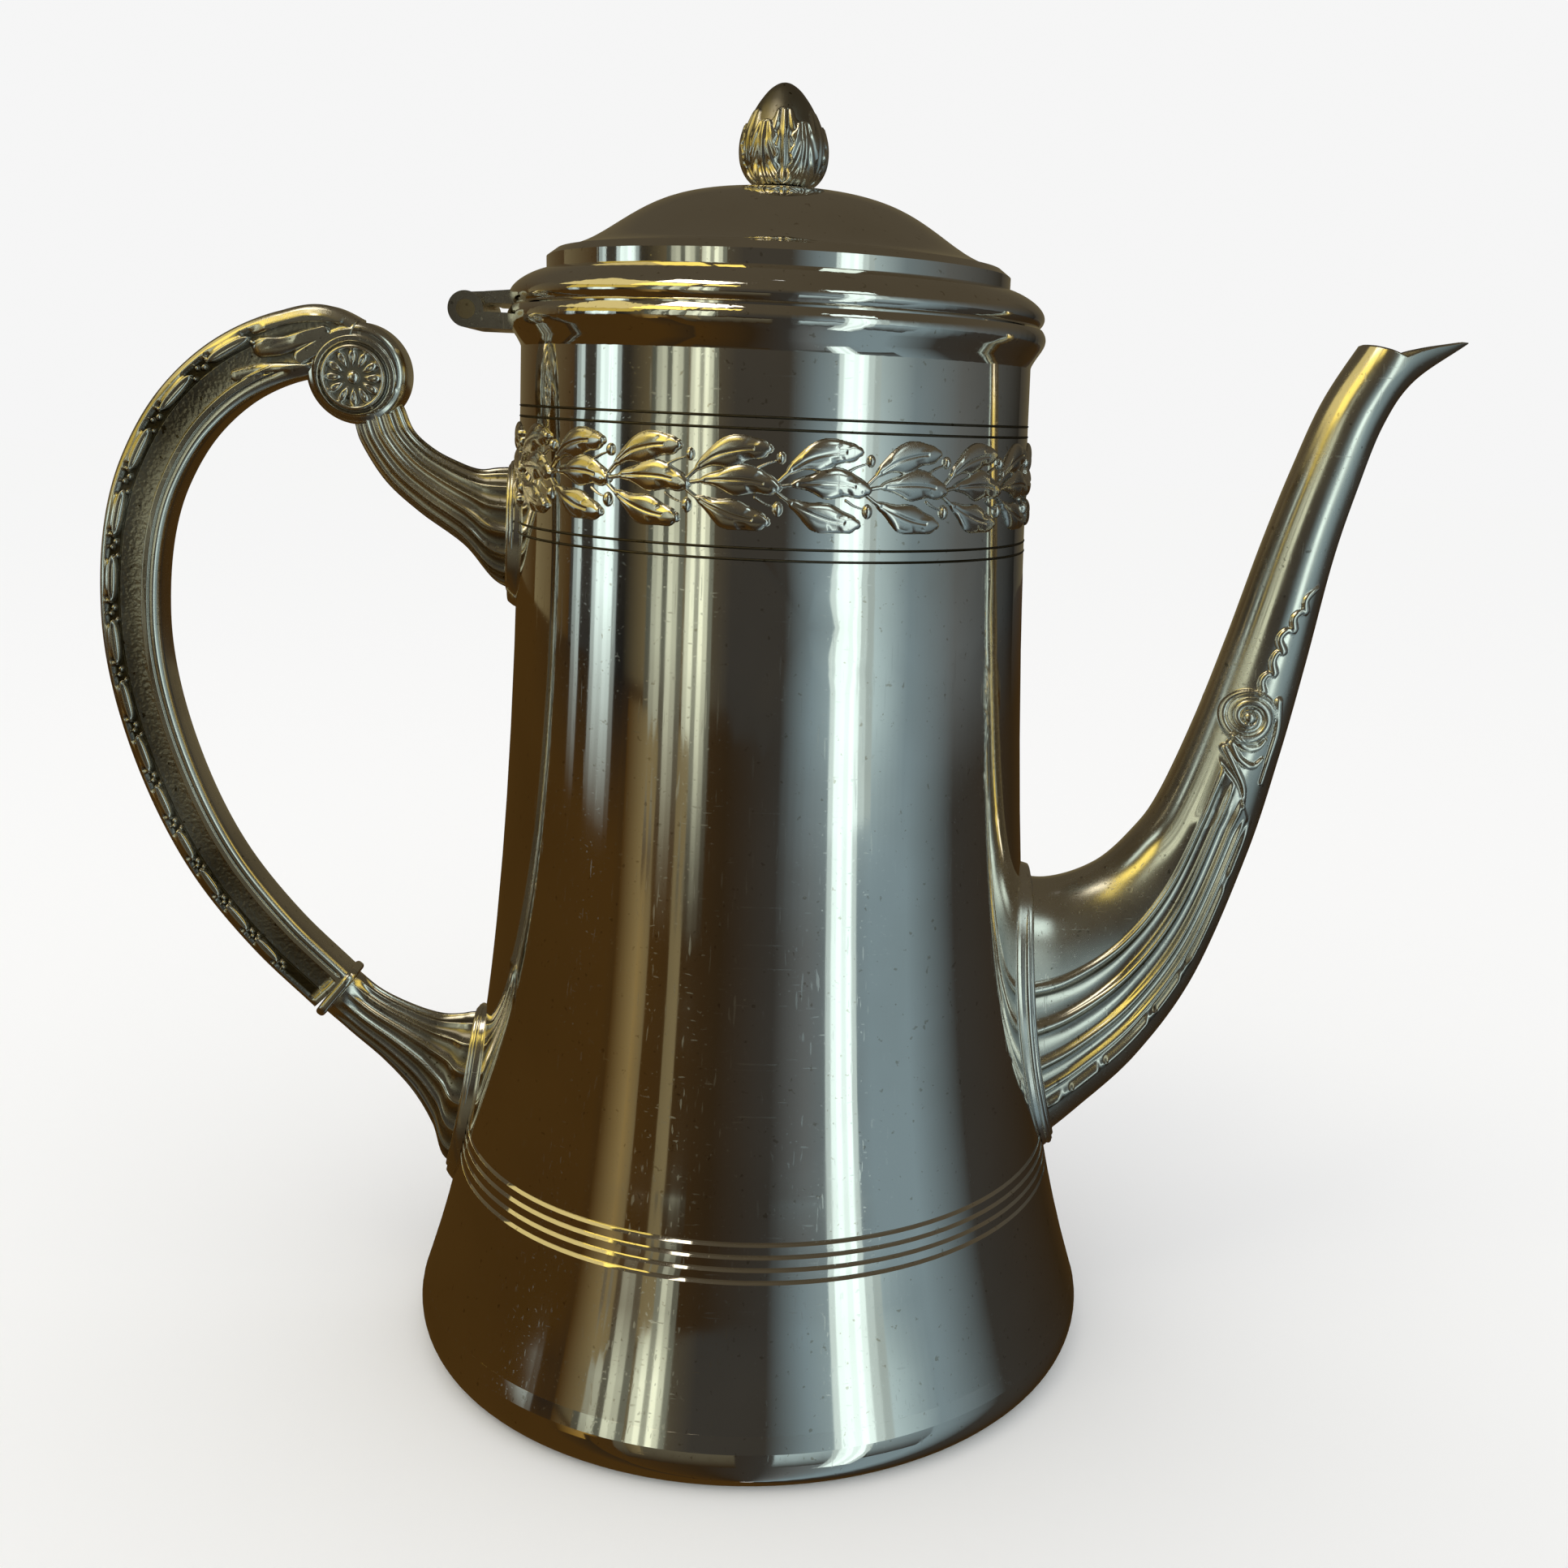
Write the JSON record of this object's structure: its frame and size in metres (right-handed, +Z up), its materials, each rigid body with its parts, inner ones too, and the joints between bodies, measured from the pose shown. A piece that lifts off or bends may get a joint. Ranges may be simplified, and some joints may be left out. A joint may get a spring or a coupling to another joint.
{
  "type": "coffee pot",
  "caption": "Tall flared metal coffee pot with a curved spout, a bowed scroll handle on fluted sockets, a leaf frieze and a hinged domed lid with a bud finial.",
  "frame": {"origin": "centre of the foot ring's tread, on the axis of the body, at the table", "axes": "+Z up along the body's axis, +X towards the spout, -X towards the handle, the front to -Y"},
  "size_m": [0.2282, 0.1226, 0.2148],
  "materials": {
    "polished_plate": "polished silver plate on spun brass, fine scratches",
    "cast_plate": "silver plate on cast brass, dark in the recesses",
    "ornament_plate": "silver plate on pressed brass, dark ground",
    "inner_plate": "dull silver plate",
    "pin_metal": "plated pin, dull"
  },
  "bodies": {
    "pot": {"body_shell": "polished_plate", "mouth_rim": "polished_plate", "foot_ring": "polished_plate", "spout": "cast_plate", "handle_scroll": "cast_plate", "handle_ring": "cast_plate", "upper_socket": "cast_plate", "lower_socket": "cast_plate", "hinge_body_leaf": "cast_plate", "leaf_frieze": "ornament_plate", "frieze_berries": "ornament_plate", "spout_collar": "ornament_plate", "upper_socket_collar": "ornament_plate", "lower_socket_collar": "ornament_plate", "handle_rosette_front": "ornament_plate", "handle_rosette_back": "ornament_plate", "base_plate": "inner_plate", "hinge_pin": "pin_metal"},
    "lid": {"lid_dome": "polished_plate", "lid_bezel": "polished_plate", "hinge_lid_leaf": "cast_plate", "finial": "cast_plate", "finial_washer": "polished_plate", "finial_inner_washer": "inner_plate", "finial_nut": "inner_plate"}
  },
  "joints": [
    {"name": "lid_hinge", "type": "hinge", "parent": "pot", "child": "lid", "pos_m": [-0.0495, 0, 0.1777], "axis": [0, -1, 0], "range_deg": [0, 105]}
  ]
}
